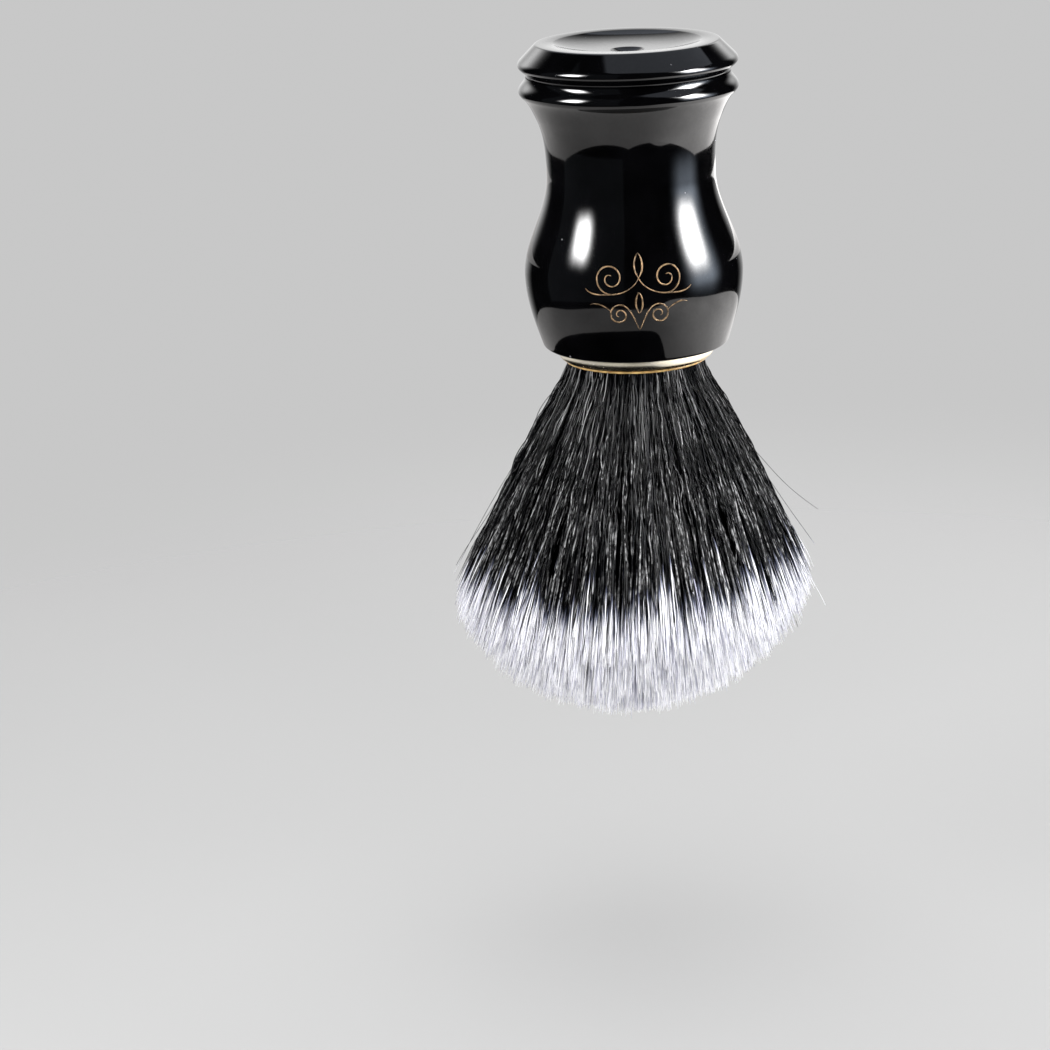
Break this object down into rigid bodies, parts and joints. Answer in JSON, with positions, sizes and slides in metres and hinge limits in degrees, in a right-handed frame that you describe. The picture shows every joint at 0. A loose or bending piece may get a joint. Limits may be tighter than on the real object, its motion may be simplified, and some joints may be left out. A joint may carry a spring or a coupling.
{
  "type": "shaving brush",
  "caption": "Shaving brush with a turned glossy black handle, beaded and dished at its end, a pale gold collar and a fanned knot of black bristles with white tips.",
  "frame": {"origin": "on the brush's axis, in the plane of the handle's mouth, the flat rim that sits on a stand's fork", "axes": "+Z along the brush's axis from the bristle tips to the handle's end, so the brush hangs bristles down; +X and +Y are across it, and -Y is the side with the printed flourish"},
  "size_m": [0.057, 0.057, 0.1073],
  "materials": {
    "handle_resin": "polished black resin, mirror gloss",
    "collar_metal": "polished pale gold",
    "weight_steel": "turned, bare",
    "pad_felt": "pressed grey felt",
    "cup_plastic": "moulded, off-white",
    "adhesive": "cured amber adhesive",
    "knot_resin": "cast resin with bristle roots in it",
    "thread": "waxed thread",
    "bristle_black": "dyed synthetic filament, satin",
    "bristle_white": "undyed synthetic filament tips, satin"
  },
  "bodies": {
    "root": {"handle_body": "handle_resin", "end_cap": "handle_resin", "cap_glue_ring": "adhesive", "balance_weight": "weight_steel", "weight_pad": "pad_felt", "collar_ring": "collar_metal", "knot_cup": "cup_plastic", "root_binding_thread": "thread", "knot_resin_plug": "knot_resin", "socket_adhesive": "adhesive", "bristle_shafts": "bristle_black", "bristle_tips": "bristle_white"}
  },
  "joints": []
}
